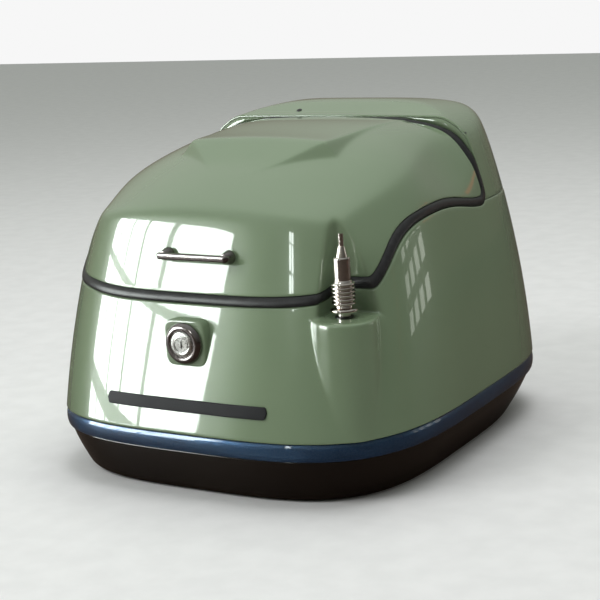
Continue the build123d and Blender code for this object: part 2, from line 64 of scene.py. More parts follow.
# ---- driving dimensions of the case, in millimetres ------------------------------------------
HALF_WIDTH = 210.0
HALF_LENGTH = 241.3
FRONT_POWER = 3.55
REAR_POWER = 4.24
REAR_TAPER = 0.0769
BASE_TOP = 45.0
BELT_TOP = 62.7
SPLIT_Z = 246.0
WALL = 4.0
SEAM_HALF = 4.5
SEAM_Y = 80.0               # vertical plane of the seam behind the lid
SEAM_CORNER = 12.0
SEAM_LINE = np.array([
    (-265, 185), (-230, 187), (-209, 189), (-190, 193.5), (-165, 198), (-150, 208),
    (-136, 221), (-120, 235), (-103, 245.5), (-69, 254.5), (-29, 257), (13, 254), (68, 247)], float)
POST = (151.0, -181.0)
POST_R = 31.0
SHELF_Z = 175.0
SCOOP = (131.0, -156.5)     # inner corner of the notch above the post
CROWN_Z = 333.0
CROWN_Y = 45.0
REAR_DIP = 0.9              # fall of the lid's rear edge, so that it clears the arch as it swings
RIDGE_Z = 348.0
RIDGE_Y = 140.0
FLANK_SLOPE = 1.45
BASE_BOTTOM = (186.4, -221.4, 192.1)
BASE_RIM = (206.0, -238.3, 238.3)
LOCK_Z = 149.0
PAD_Y = -226.0
PAD_HALF = 23.0
HINGE_LINE = np.array([78.8, 326.5])    # y and z of the lid's hinge line
HINGE_REACH = 76.0          # half the width that the two hinges take up
HINGE_TOP = 329.7           # lowest the seal may hang over the hinge leaves
SEAL_SWING = 5.5            # reach of the seal's top from the hinge line, clear of the arch
SEAL_SWING_Z = 322.0        # height above which that reach holds
CAMERA_PLACE = (0.8681, -1.4350, 0.4972)        # metres, as are the target and all lights
CAMERA_TARGET = (-0.0039, -0.0044, 0.1451)
CAMERA_ROLL = math.radians(-3.087)
CAMERA_LENS = 95.85


# ---- form of the case --------------------------------------------------------------------------
def soft_min(a, b, width):
    return (a + b - np.hypot(a - b, width)) / 2


def soft_max(a, b, width):
    return (a + b + np.hypot(a - b, width)) / 2


def smooth_step(value):
    value = np.clip(value, 0.0, 1.0)
    return value * value * (3 - 2 * value)


def shell_size(z):
    t = z - BELT_TOP
    half = HALF_WIDTH - 0.026 * t - 0.000604 * t * t
    front = -HALF_LENGTH + 0.2324 * t + 0.000157 * t * t
    rear = HALF_LENGTH - 0.1729 * t + 0.000072 * t * t
    return half, front, rear


def outline(half, front, rear, angle):
    """Point of a level section at a polar angle: a superellipse that narrows rearwards."""
    mid = (front + rear) / 2
    reach = (rear - front) / 2
    c = np.cos(angle)
    s = np.sin(angle)
    power = np.where(s < 0, FRONT_POWER, REAR_POWER)
    radius = (np.abs(c) ** power + np.abs(s) ** power) ** (-1 / power)
    y = mid + reach * radius * s
    x = half * radius * c * (1 - REAR_TAPER * (y / (2 * HALF_LENGTH) + 0.25))
    return x, y


def wall_field(p, inset):
    """About the distance outside the shell's wall, negative inside."""
    half, front, rear = shell_size(p[..., 2])
    half = half - inset
    mid = (front + rear) / 2
    reach = (rear - front) / 2 - inset
    v = (p[..., 1] - mid) / reach
    u = p[..., 0] / (half * (1 - REAR_TAPER * (p[..., 1] / (2 * HALF_LENGTH) + 0.25)))
    power = np.where(v < 0, FRONT_POWER, REAR_POWER)
    size = (np.abs(u) ** power + np.abs(v) ** power) ** (1 / power)
    return (size - 1) * 0.9 * HALF_WIDTH


def hood_height(x, y):
    """Raised hood panel: front facet, diagonal facets, side facets and a flat top."""
    front = 303 + 0.605 * (y + 115)
    diagonal = 303 - 1.034 * (x - 37) + 1.748 * (y + 115)
    side = 307 + 1.27 * (94 - x) + 0.12 * (y + 79)
    top = 328.5 + 4.5 * smooth_step((y + 77) / 110) - 2.5 * (x / 79) ** 2
    return soft_min(soft_min(front, diagonal, 2.0), soft_min(side, top, 2.5), 2.5)


def lid_height(x, y):
    x = np.abs(x)
    y = np.minimum(y, SEAM_Y + 2)
    crown = CROWN_Z - 0.001143 * (y - CROWN_Y) ** 2
    drop = 27.5 - 0.00075 * (y + 70) ** 2
    shoulder = 147 + 9 * np.cos(np.pi * (y + 70) / 105)
    power = 2.4 + 1.6 * smooth_step((y + 150) / 230)
    dome = crown - drop * (x / shoulder) ** power
    flank = crown - drop + 2 + FLANK_SLOPE * (shoulder - x)
    roof = soft_min(dome, flank, 5 + 12 * smooth_step((y - 10) / 70))
    return soft_max(roof, hood_height(x, y), 2.5) - REAR_DIP * smooth_step((y - 60) / 15)


def arch_height(x, y):
    u = x / 150
    cross = RIDGE_Z - 2.9 * u ** 2 - 22.3 * u ** 4
    rise = RIDGE_Z - 15 * (1 - smooth_step((y - SEAM_Y + 6) / (RIDGE_Y - SEAM_Y + 6)))
    fall = RIDGE_Z - 0.0053 * np.maximum(y - RIDGE_Y, 0) ** 2
    return soft_min(cross, np.minimum(rise, fall), 2)


def top_field(p, inset, height):
    x = p[..., 0]
    y = p[..., 1]
    slope_x = (height(x + 1, y) - height(x - 1, y)) / 2
    slope_y = (height(x, y + 1) - height(x, y - 1)) / 2
    return (p[..., 2] - height(x, y)) / np.sqrt(1 + slope_x ** 2 + slope_y ** 2) + inset


def scoop_field(p, inset):
    reach = soft_min(p[..., 0] - SCOOP[0] + inset, SCOOP[1] + inset - p[..., 1], 7.0)
    return soft_min(reach, p[..., 2] - SHELF_Z + inset, 2.0)


def post_field(p, inset):
    reach = np.hypot(p[..., 0] - POST[0], p[..., 1] - POST[1])
    return soft_max(reach - POST_R + inset, p[..., 2] - SHELF_Z + inset, 3.0)


def body_field(p, inset=0.0):
    solid = soft_max(wall_field(p, inset), scoop_field(p, inset), 2.5)
    return soft_min(solid, post_field(p, inset), 2.0)


def lid_field(p, inset=0.0):
    solid = soft_max(wall_field(p, inset), top_field(p, inset, lid_height), 4.5)
    return soft_max(solid, scoop_field(p, inset), 2.5)


def arch_field(p, inset=0.0):
    return soft_max(wall_field(p, inset), top_field(p, inset, arch_height), 9.0)


def cast(origin, way, field, inset=0.0, far=420.0):
    """Where rays from inside leave the solid of a field."""
    low = np.zeros(way.shape[:-1])
    high = np.full(way.shape[:-1], far)
    for _ in range(34):
        mid = (low + high) / 2
        inside = field(origin + way * mid[..., None], inset) < 0
        low = np.where(inside, mid, low)
        high = np.where(inside, high, mid)
    return origin + way * ((low + high) / 2)[..., None]


# ---- the seam --------------------------------------------------------------------------------------
def spline_values(points, at):
    """Cubic spline through (y, z) points with nearly level ends."""
    y = points[:, 0]
    z = points[:, 1]
    h = np.diff(y)
    n = len(y)
    system = np.zeros((n, n))
    right = np.zeros(n)
    system[0, 0] = 1
    system[-1, -1] = 1
    right[0] = 0.04
    for i in range(1, n - 1):
        system[i, i - 1] = 1 / h[i - 1]
        system[i, i] = 2 * (1 / h[i - 1] + 1 / h[i])
        system[i, i + 1] = 1 / h[i]
        right[i] = 3 * ((z[i] - z[i - 1]) / h[i - 1] ** 2 + (z[i + 1] - z[i]) / h[i] ** 2)
    slope = np.linalg.solve(system, right)
    i = np.clip(np.searchsorted(y, at) - 1, 0, n - 2)
    t = (at - y[i]) / h[i]
    value = (2 * t ** 3 - 3 * t ** 2 + 1) * z[i] + (t ** 3 - 2 * t ** 2 + t) * h[i] * slope[i]
    return value + (-2 * t ** 3 + 3 * t ** 2) * z[i + 1] + (t ** 3 - t ** 2) * h[i] * slope[i + 1]


def seam_path(offset):
    """Side view (y, z) of the seam moved by offset towards the lid: curve, corner, riser."""
    y = np.linspace(SEAM_LINE[0, 0], SEAM_LINE[-1, 0], 500)
    z = spline_values(SEAM_LINE, y)
    slope = np.gradient(z, y)
    length = np.hypot(1, slope)
    curve = np.stack([y - slope / length * offset, z + offset / length], -1)
    turn = np.linspace(-np.pi / 2, 0, 40)[1:]
    middle = (SEAM_Y - SEAM_CORNER, SEAM_LINE[-1, 1] + SEAM_CORNER)
    radius = SEAM_CORNER - offset
    corner = np.stack([middle[0] + radius * np.cos(turn), middle[1] + radius * np.sin(turn)], -1)
    rise = np.linspace(middle[1], 300, 60)[1:]
    riser = np.stack([np.full_like(rise, SEAM_Y - offset), rise], -1)
    return curve, np.concatenate([corner, riser])


def seam_height(y, offset):
    curve, _ = seam_path(offset)
    return np.interp(y, curve[:, 0], curve[:, 1])


def resample(points, count):
    step = np.linalg.norm(np.diff(points, axis=0), axis=1)
    reached = np.concatenate([[0], np.cumsum(step)])
    at = np.linspace(0, reached[-1], count)
    return np.stack([np.interp(at, reached, points[:, k]) for k in range(3)], -1)


def side_x(yz, side, field, inset):
    """Points of the surface at given (y, z), on one side."""
    origin = np.stack([np.zeros(len(yz)), yz[:, 0], yz[:, 1]], -1)
    way = np.zeros_like(origin)
    way[:, 0] = side
    return cast(origin, way, field, inset, far=240.0)


def front_run(side, field, offset, inset, end_y):
    """The seam from the front centre round one side, as far back as end_y."""
    angle = np.linspace(-math.pi / 2, math.radians(32), 1600)
    way = np.stack([side * np.cos(angle), np.sin(angle), np.zeros_like(angle)], -1)
    z = np.full_like(angle, 200.0)
    for _ in range(14):
        origin = np.stack([np.zeros_like(z), np.zeros_like(z), z], -1)
        points = cast(origin, way, field, inset)
        z = 0.35 * z + 0.65 * seam_height(points[:, 1], offset)
    keep = points[:, 1] < end_y
    return points[:np.argmin(keep)] if not keep.all() else points


def seam_half(side, field, offset, inset, count=430):
    curve, rest = seam_path(offset)
    run = front_run(side, field, offset, inset, curve[-1, 0] - 0.3)
    rest = side_x(rest, side, field, inset)
    top_way = np.linspace(math.atan2(rest[-1, 2] - 250, abs(rest[-1, 0])) + 0.01, math.pi / 2, 200)
    way = np.stack([side * np.cos(top_way), np.zeros_like(top_way), np.sin(top_way)], -1)
    top = cast(np.array([0, SEAM_Y - offset, 250.0]), way, field, inset, far=200.0)
    return resample(np.concatenate([run, rest, top]), count)


def seam_loop(field, offset, inset):
    """The whole seam as a closed loop, from the front centre round by +X."""
    right = seam_half(1, field, offset, inset)
    left = seam_half(-1, field, offset, inset)
    return np.concatenate([right, left[::-1][1:-1]])


# ---- meshes ------------------------------------------------------------------------------------------
def make_object(name, vertices, faces, materials, body, face_slots=None):
    mesh = bpy.data.meshes.new(name)
    mesh.from_pydata((np.asarray(vertices) * MM).tolist(), [], faces)
    for material in materials:
        mesh.materials.append(material)
    if face_slots is not None:
        mesh.polygons.foreach_set("material_index", np.asarray(face_slots, np.int32))
    mesh.polygons.foreach_set("use_smooth", np.ones(len(mesh.polygons), bool))
    mesh.validate()
    mesh.update()
    thing = bpy.data.objects.new(name, mesh)
    bpy.context.scene.collection.objects.link(thing)
    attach(thing, body)
    return thing


def strip_faces(rows, columns, wrap_rows=False, wrap_columns=True):
    i = np.arange(rows if wrap_rows else rows - 1)
    j = np.arange(columns if wrap_columns else columns - 1)
    i, j = np.meshgrid(i, j, indexing="ij")
    a = i * columns + j
    b = i * columns + (j + 1) % columns
    c = ((i + 1) % rows) * columns + (j + 1) % columns
    d = ((i + 1) % rows) * columns + j
    return np.stack([a, b, c, d], -1).reshape(-1, 4).tolist()


def grid_object(name, rows, materials, body, wrap_rows=False, wrap_columns=True, row_slots=None, flip=False):
    """Object from a list of point rows of equal length."""
    grid = np.stack(rows)
    count, columns = grid.shape[:2]
    faces = strip_faces(count, columns, wrap_rows, wrap_columns)
    if flip:
        faces = [face[::-1] for face in faces]
    slots = None
    if row_slots is not None:
        per_row = columns if wrap_columns else columns - 1
        slots = np.repeat(row_slots[:len(faces) // per_row], per_row)
    return make_object(name, grid.reshape(-1, 3), faces, materials, body, slots)


def dome_rows(loop, origin, pole, field, inset, count, power=1.0):
    """Rows of points from a boundary loop to the pole of a star-shaped surface."""
    start = loop - origin
    start /= np.linalg.norm(start, axis=1)[:, None]
    pole = np.asarray(pole, float) / np.linalg.norm(pole)
    angle = np.arccos(np.clip(start @ pole, -1, 1))[:, None]
    rows = [loop]
    for k in range(1, count + 1):
        share = min((k / count) ** power, 0.9995)
        way = (np.sin((1 - share) * angle) * start + np.sin(share * angle) * pole) / np.sin(angle)
        way /= np.linalg.norm(way, axis=1)[:, None]
        rows.append(cast(origin, way, field, inset))
    return rows


# ---- materials -----------------------------------------------------------------------------------------
def new_material(name):
    material = bpy.data.materials.new(name)
    material.use_nodes = True
    nodes = material.node_tree.nodes
    return material, nodes, material.node_tree.links, nodes["Principled BSDF"]


def add_noise(nodes, links, scale, detail=3.0, rough=0.5):
    place = nodes.new("ShaderNodeTexCoord")
    noise = nodes.new("ShaderNodeTexNoise")
    noise.inputs["Scale"].default_value = scale
    noise.inputs["Detail"].default_value = detail
    noise.inputs["Roughness"].default_value = rough
    links.new(place.outputs["Object"], noise.inputs["Vector"])
    return noise


def mix_colours(nodes, links, factor, first, second):
    ramp = nodes.new("ShaderNodeValToRGB")
    ramp.color_ramp.elements[0].position = 0.35
    ramp.color_ramp.elements[1].position = 0.65
    ramp.color_ramp.elements[0].color = (*first, 1)
    ramp.color_ramp.elements[1].color = (*second, 1)
    links.new(factor, ramp.inputs["Fac"])
    return ramp.outputs["Color"]


def add_bump(nodes, links, normal, height, strength, distance):
    bump = nodes.new("ShaderNodeBump")
    bump.inputs["Strength"].default_value = strength
    bump.inputs["Distance"].default_value = distance
    links.new(height, bump.inputs["Height"])
    links.new(bump.outputs["Normal"], normal)


def map_range(nodes, links, value, low, high, start=0.0, end=1.0):
    """Output that runs from low to high while value runs from start to end."""
    node = nodes.new("ShaderNodeMapRange")
    node.inputs["From Min"].default_value = start
    node.inputs["From Max"].default_value = end
    node.inputs["To Min"].default_value = low
    node.inputs["To Max"].default_value = high
    links.new(value, node.inputs["Value"])
    return node.outputs["Result"]


def vary_roughness(nodes, links, shader, noise, low, high):
    links.new(map_range(nodes, links, noise.outputs["Fac"], low, high), shader.inputs["Roughness"])


def colour_by_ray(nodes, links, ray, usual, special):
    """Colour output that is special for rays of one kind and usual for all others."""
    path = nodes.new("ShaderNodeLightPath")
    choose = nodes.new("ShaderNodeMix")
    choose.data_type = "RGBA"
    colours = [socket for socket in choose.inputs if socket.type == "RGBA"]
    links.new(path.outputs[ray], choose.inputs[0])
    links.new(usual, colours[0])
    colours[1].default_value = (*special, 1)
    return next(socket for socket in choose.outputs if socket.type == "RGBA")


def gloss_paint(name, first, second, roughness=(0.22, 0.32), flake=0.0, coat=1.0, specular=0.5):
    """Coated paint: slight colour drift, orange peel, and metal flakes if asked for."""
    material, nodes, links, shader = new_material(name)
    drift = add_noise(nodes, links, 9.0)
    links.new(mix_colours(nodes, links, drift.outputs["Fac"], first, second), shader.inputs["Base Color"])
    vary_roughness(nodes, links, shader, add_noise(nodes, links, 60.0), *roughness)
    shader.inputs["Specular IOR Level"].default_value = specular
    shader.inputs["Coat Weight"].default_value = coat
    shader.inputs["Coat Roughness"].default_value = 0.025
    shader.inputs["Coat IOR"].default_value = 1.55
    peel = add_noise(nodes, links, 230.0, 1.0)
    add_bump(nodes, links, shader.inputs["Coat Normal"], peel.outputs["Fac"], 0.010, 0.0004)
    if flake:
        place = nodes.new("ShaderNodeTexCoord")
        cells = nodes.new("ShaderNodeTexVoronoi")
        cells.inputs["Scale"].default_value = 1500.0
        links.new(place.outputs["Object"], cells.inputs["Vector"])
        links.new(map_range(nodes, links, cells.outputs["Color"], 0.25, 1.0), shader.inputs["Metallic"])
        add_bump(nodes, links, shader.inputs["Normal"], cells.outputs["Color"], flake, 0.0005)
    return material


def plain_metal(name, colour, roughness, scratch=0.08):
    material, nodes, links, shader = new_material(name)
    drift = add_noise(nodes, links, 140.0)
    second = tuple(c * 0.82 for c in colour)
    links.new(mix_colours(nodes, links, drift.outputs["Fac"], colour, second), shader.inputs["Base Color"])
    shader.inputs["Metallic"].default_value = 1.0
    fine = add_noise(nodes, links, 900.0, 4.0)
    vary_roughness(nodes, links, shader, fine, roughness * 0.7, roughness * 1.3)
    add_bump(nodes, links, shader.inputs["Normal"], fine.outputs["Fac"], scratch, 0.0002)
    return material


def soft_matter(name, first, second, roughness, scale, bump, sheen=0.0):
    material, nodes, links, shader = new_material(name)
    drift = add_noise(nodes, links, scale)
    links.new(mix_colours(nodes, links, drift.outputs["Fac"], first, second), shader.inputs["Base Color"])
    vary_roughness(nodes, links, shader, drift, roughness - 0.06, roughness + 0.06)
    add_bump(nodes, links, shader.inputs["Normal"], drift.outputs["Fac"], bump, 0.0004)
    shader.inputs["Sheen Weight"].default_value = sheen
    return material


GREEN = gloss_paint("green_paint", (0.180, 0.250, 0.150), (0.190, 0.261, 0.158), (0.25, 0.27))
BLACK = gloss_paint("black_gloss", (0.007, 0.005, 0.004), (0.010, 0.007, 0.005), (0.10, 0.18), coat=0.4)
BLUE = gloss_paint("blue_metallic", (0.015, 0.050, 0.120), (0.028, 0.080, 0.170), (0.25, 0.40), flake=0.6)
BADGE = gloss_paint(
    "badge_dark", (0.018, 0.018, 0.020), (0.026, 0.026, 0.028), (0.40, 0.50), coat=0.0, specular=0.12)
HINGE = gloss_paint("hinge_black", (0.020, 0.020, 0.022), (0.030, 0.030, 0.032), (0.35, 0.5), coat=0.2)
RUBBER = soft_matter("seal_rubber", (0.016, 0.016, 0.017), (0.026, 0.026, 0.028), 0.38, 160.0, 0.15)
INNER = soft_matter("inner_plastic", (0.030, 0.032, 0.030), (0.042, 0.045, 0.042), 0.55, 700.0, 0.35)
FELT = soft_matter("felt", (0.040, 0.041, 0.044), (0.075, 0.076, 0.080), 0.92, 1400.0, 0.8, sheen=0.5)
CABLE = soft_matter("cable_jacket", (0.012, 0.012, 0.012), (0.020, 0.020, 0.020), 0.5, 300.0, 0.1)
NICKEL = plain_metal("bright_nickel", (0.80, 0.74, 0.70), 0.16)
SMOKED = plain_metal("smoked_chrome", (0.30, 0.27, 0.27), 0.16)
SILVER = plain_metal("lock_silver", (0.78, 0.78, 0.76), 0.26)
ZINC = plain_metal("zinc_steel", (0.62, 0.62, 0.60), 0.34)


# ---- green shells ----------------------------------------------------------------------------------------
def build_lid():
    origin = np.array([0.0, -30.0, 205.0])
    edge = SEAM_HALF
    inner_loop = seam_loop(lid_field, edge + 1.2, WALL)
    inner = dome_rows(inner_loop, origin, (0, 0.05, 1), lid_field, WALL, 90)[::-1]
    rim = [
        seam_loop(lid_field, edge + 0.3, WALL - 0.3),
        seam_loop(lid_field, edge, WALL - 1.1),
        seam_loop(lid_field, edge, 1.0),
        seam_loop(lid_field, edge + 0.35, 0.3),
    ]
    outer = dome_rows(seam_loop(lid_field, edge + 1.2, 0.0), origin, (0, 0.05, 1), lid_field, 0.0, 190)
    rows = inner + rim + outer
    slots = [1] * (len(inner) + 1) + [0] * (len(rim) + len(outer))
    lid = grid_object("lid_shell_skin", rows, [GREEN, INNER], "lid", row_slots=slots, flip=True)
    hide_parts("lid_shell")


def body_angles():
    plain = np.linspace(0, 2 * np.pi, 620, endpoint=False)
    corner = np.radians(np.linspace(-64, -34, 260)) % (2 * np.pi)
    return np.unique(np.round(np.concatenate([plain, corner]), 5))


def body_edge(angle, drop, inset):
    """Height of the body's rim at each polar angle, drop below the true edge."""
    way = np.stack([np.cos(angle), np.sin(angle), np.zeros_like(angle)], -1)
    z = np.full_like(angle, 200.0)
    for _ in range(14):
        origin = np.stack([np.zeros_like(z), np.zeros_like(z), z], -1)
        y = cast(origin, way, body_field, inset)[:, 1]
        curve = seam_height(y, -SEAM_HALF - drop)
        reach = SEAM_CORNER + SEAM_HALF + drop
        behind = np.clip(y - SEAM_LINE[-1, 0], 0, reach)
        corner = SEAM_LINE[-1, 1] + SEAM_CORNER - np.sqrt(reach ** 2 - behind ** 2)
        target = np.where(y < SEAM_LINE[-1, 0], curve, corner)
        target = np.where(y > 40, np.minimum(target, SPLIT_Z - drop), target)
        z = 0.35 * z + 0.65 * target
    return z


def level_row(angle, z, inset):
    way = np.stack([np.cos(angle), np.sin(angle), np.zeros_like(angle)], -1)
    z = np.broadcast_to(z, angle.shape)
    origin = np.stack([np.zeros_like(angle), np.zeros_like(angle), z], -1)
    return cast(origin, way, body_field, inset)


def build_body():
    angle = body_angles()
    rows = [level_row(angle, BELT_TOP + 0.1, 1.2), level_row(angle, BELT_TOP + 0.5, 0.35)]
    above = SHELF_Z + 3
    low_levels = np.linspace(BELT_TOP + 3.3, SHELF_Z - 4, 52)
    shelf_levels = np.linspace(SHELF_Z - 3.4, above, 24)
    for z in (BELT_TOP + 1.4, *low_levels, *shelf_levels):
        rows.append(level_row(angle, z, 0.0))
    outer_top = body_edge(angle, 1.2, 0.0)
    for share in np.linspace(0, 1, 22)[1:]:
        rows.append(level_row(angle, above + (outer_top - above) * share, 0.0))
    for drop, inset in ((0.35, 0.3), (0.0, 1.0), (0.0, WALL - 1.0), (0.3, WALL - 0.3)):
        rows.append(level_row(angle, body_edge(angle, drop, inset), inset))
    outside = len(rows)
    inner_top = body_edge(angle, 1.2, WALL)
    above = SHELF_Z + 1
    for share in np.linspace(1, 0, 16):
        rows.append(level_row(angle, above + (inner_top - above) * share, WALL))
    shelf_levels = np.linspace(SHELF_Z - 1, SHELF_Z - 9, 16)
    low_levels = np.linspace(SHELF_Z - 15, BELT_TOP + 0.2, 20)
    for z in (*shelf_levels, *low_levels):
        rows.append(level_row(angle, z, WALL))
    slots = [0] * outside + [1] * (len(rows) - outside)
    body = grid_object("body_shell_skin", rows, [GREEN, INNER], "case", wrap_rows=True, row_slots=slots)
    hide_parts("body_shell")


def build_deck():
    """Shelf that closes the shell under the arch."""
    angle = np.linspace(0, np.pi, 300)
    edges = []
    for z in (SPLIT_Z - 4, SPLIT_Z - 0.4):
        edge = level_row(angle, z, 1.0)
        edges.append(edge[edge[:, 1] > SEAM_Y + SEAM_HALF])
    count = min(len(edge) for edge in edges)
    across = np.linspace(0, 1, 80)[1:-1]
    rings = []
    for edge in edges:
        edge = resample(edge, count)
        x = edge[-1, 0] + (edge[0, 0] - edge[-1, 0]) * across
        front = np.stack([x, np.full_like(x, edge[0, 1]), np.full_like(x, edge[0, 2])], -1)
        rings.append(np.concatenate([edge, front]))
    columns = len(rings[0])
    faces = strip_faces(2, columns)
    faces.append(list(range(columns))[::-1])
    faces.append(list(range(columns, 2 * columns)))
    deck = make_object("body_deck", np.concatenate(rings), faces, [INNER], "case")
    for polygon in deck.data.polygons:
        polygon.use_smooth = False


def build_pad():
    """Raised flat pad on the front wall that carries the lock."""
    angle = np.linspace(0, 2 * np.pi, 160, endpoint=False)
    power = 5.5
    radius = (np.abs(np.cos(angle)) ** power + np.abs(np.sin(angle)) ** power) ** (-1 / power)
    rows = []
    for back, inset in ((18, 0), (2.2, 0), (1.1, 0.25), (0.4, 0.8), (0.08, 1.6), (0, 2.6), (0, 7)):
        reach = (PAD_HALF - inset) * radius
        y = np.full_like(angle, PAD_Y + back)
        rows.append(np.stack([reach * np.cos(angle), y, LOCK_Z + reach * np.sin(angle)], -1))
    pad = grid_object("lock_pad", rows, [GREEN], "case", flip=True)


def arch_loop(back, inset):
    """Closed edge of the arch cover, moved in from its true edge by back."""
    halves = []
    low = SPLIT_Z + 0.4 + back
    for side in (1, -1):
        half = seam_half(side, arch_field, -SEAM_HALF - back, inset, count=1600)
        start = np.argmax((half[:, 2] > low) & (half[:, 1] > SEAM_Y - SEAM_CORNER - 1))
        halves.append(half[start:])
    first = halves[0][0]
    last = halves[1][0]
    front = resample(np.concatenate([halves[0], halves[1][::-1][1:]]), 420)
    turn = np.linspace(math.atan2(last[1], last[0]), math.atan2(first[1], first[0]), 402)
    way = np.stack([np.cos(turn), np.sin(turn), np.zeros_like(turn)], -1)
    edge = cast(np.array([0, 0, low]), way, arch_field, inset)
    return np.concatenate([front, resample(edge, 402)[1:-1]])


def build_arch():
    origin = np.array([0.0, 125.0, 268.0])
    pole = (0, 0.12, 1)
    inner = dome_rows(arch_loop(1.0, WALL), origin, pole, arch_field, WALL, 30)[::-1]
    rim = [arch_loop(0.0, 2.2), arch_loop(0.0, 1.0), arch_loop(0.35, 0.3)]
    outer = dome_rows(arch_loop(1.2, 0.0), origin, pole, arch_field, 0.0, 110)
    rows = inner + rim + outer
    slots = [1] * len(inner) + [0] * (len(rim) + len(outer))
    arch = grid_object("arch_cover_skin", rows, [GREEN, INNER], "case", row_slots=slots, flip=True)
    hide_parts("arch_cover")


def build_arch_lip():
    """Front face of the arch, from its outer edge down to just under the lid's surface."""
    angle = np.radians(np.linspace(-2, 182, 260))
    way = np.stack([np.cos(angle), np.zeros_like(angle), np.sin(angle)], -1)
    origin = np.array([0.0, SEAM_Y + 4.7, SPLIT_Z + 8])
    deep = cast(origin, way, lid_field, 4.5)
    shallow = cast(origin, way, lid_field, 1.0)
    share = smooth_step((shallow[:, 2:] - 320) / 8)
    lower = deep + (shallow - deep) * share
    upper = cast(origin, way, arch_field, 0.9)
    upper = np.where(upper[:, 2:] < lower[:, 2:], lower, upper)
    behind = np.array([0, 0.4, 0])
    rows = [upper + behind, upper, lower, lower + behind]
    lip = grid_object("arch_front_lip", rows, [GREEN], "case", wrap_rows=True, wrap_columns=False)


def build_arch_plug():
    """Small dark plug on the arch's front slope."""
    angle = np.linspace(0, 2 * np.pi, 32, endpoint=False)
    rows = []
    for radius, rise in ((3.0, -1.0), (3.0, 0.3), (2.7, 0.7), (1.8, 0.8), (1.5, 0.3), (0.1, 0.3)):
        x = -54 + radius * np.cos(angle)
        y = 98 + radius * np.sin(angle)
        rows.append(np.stack([x, y, arch_height(x, y) + rise], -1))
    plug = grid_object("arch_plug", rows, [HINGE], "case")


def build_seal():
    """Rubber bead along the lid's edge, held in at the hinge line to clear the arch as it swings."""
    profile = [
        (-3.9, 4.0), (-4.1, 1.6), (-3.9, 0.2), (-3.1, -0.6), (-1.8, -1.1), (0.0, -1.3), (1.8, -1.1),
        (3.2, -0.5), (4.1, 0.5), (4.3, 1.8), (4.3, 6.0), (2.4, 7.2), (-1.2, 7.2), (-3.2, 5.8)]
    rows = []
    for offset, inset in profile:
        loop = seam_loop(lid_field, offset, inset)
        limit = SEAM_Y + 4.2 - 4.9 * smooth_step((loop[:, 2] - 312) / 10)
        loop[:, 1] = np.minimum(loop[:, 1], limit)
        arm = loop[:, 1:] - HINGE_LINE
        swing = np.linalg.norm(arm, axis=1)
        scale = np.where(loop[:, 2] > SEAL_SWING_Z, np.minimum(1, SEAL_SWING / np.maximum(swing, 0.1)), 1)
        loop[:, 1:] = HINGE_LINE + arm * scale[:, None]
        over_hinge = (np.abs(loop[:, 0]) < HINGE_REACH) & (loop[:, 2] > SEAL_SWING_Z - 2)
        loop[:, 2] = np.where(over_hinge, np.maximum(loop[:, 2], HINGE_TOP), loop[:, 2])
        rows.append(loop)
    seal = grid_object("lid_seal_bead", rows, [RUBBER], "lid", wrap_rows=True, flip=True)
    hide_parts("lid_seal")


# ---- base and belt ---------------------------------------------------------------------------------------
def base_size(z):
    share = np.sin(np.clip(z, 0, BASE_TOP) / BASE_TOP * np.pi / 2)
    return tuple(a + (b - a) * (0.35 * share + 0.65 * z / BASE_TOP) for a, b in zip(BASE_BOTTOM, BASE_RIM))


def level_ring(size, z, inset, count=560):
    angle = np.linspace(0, 2 * np.pi, count, endpoint=False)
    x, y = outline(size[0] - inset, size[1] + inset, size[2] - inset, angle)
    return np.stack([x, y, np.full_like(x, z)], -1)


def build_base():
    rows = []
    rounding = 7.0
    for inset in (150, 100, 60, 30, 16, 10):
        rows.append(level_ring(base_size(0), 0.0, inset))
    for turn in np.linspace(0, np.pi / 2, 12):
        z = rounding * (1 - math.cos(turn))
        rows.append(level_ring(base_size(z), z, rounding * (1 - math.sin(turn))))
    for z in np.linspace(rounding + 2, BASE_TOP - 1.2, 22):
        rows.append(level_ring(base_size(z), z, 0.0))
    rows.append(level_ring(base_size(BASE_TOP), BASE_TOP - 0.5, 0.3))
    rows.append(level_ring(base_size(BASE_TOP), BASE_TOP - 0.2, 1.0))
    outside = len(rows)
    rows.append(level_ring(base_size(BASE_TOP), BASE_TOP - 0.2, 21.0))
    rows.append(level_ring(base_size(BASE_TOP), BASE_TOP - 3.2, 21.0))
    rows.append(level_ring(base_size(BASE_TOP - 4), BASE_TOP - 3.2, WALL))
    for z in np.linspace(BASE_TOP - 6, 6, 14):
        rows.append(level_ring(base_size(z), z, WALL))
    for inset in (8, 16, 30, 60, 100, 150):
        rows.append(level_ring(base_size(4), 4.0, inset))
    slots = [0] * outside + [1] * (len(rows) - outside)
    base = grid_object("base_tray_skin", rows, [BLACK, INNER], "case", row_slots=slots)
    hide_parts("base_tray")


def build_belt():
    size = (HALF_WIDTH, -HALF_LENGTH, HALF_LENGTH)
    profile = [(3.9, BASE_TOP + 0.1), (2.4, BASE_TOP + 0.1), (1.5, BASE_TOP + 0.7), (0.9, BASE_TOP + 1.9)]
    low_turn = math.radians(-70)
    high_turn = math.radians(75)
    for turn in np.linspace(low_turn, high_turn, 14):
        bulge = 1.5 * (math.cos(turn) - math.cos(low_turn))
        rise = 6.6 * math.sin(turn) / math.sin(high_turn)
        profile.append((0.9 - bulge, BASE_TOP + 9.0 + rise))
    profile += [(1.1, BELT_TOP - 1.4), (1.9, BELT_TOP - 0.5), (3.2, BELT_TOP - 0.15), (3.9, BELT_TOP - 0.15)]
    rows = [level_ring(size, z, inset) for inset, z in profile]
    belt = grid_object("belt_trim_skin", rows, [BLUE], "case", wrap_rows=True)
    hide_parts("belt_trim")


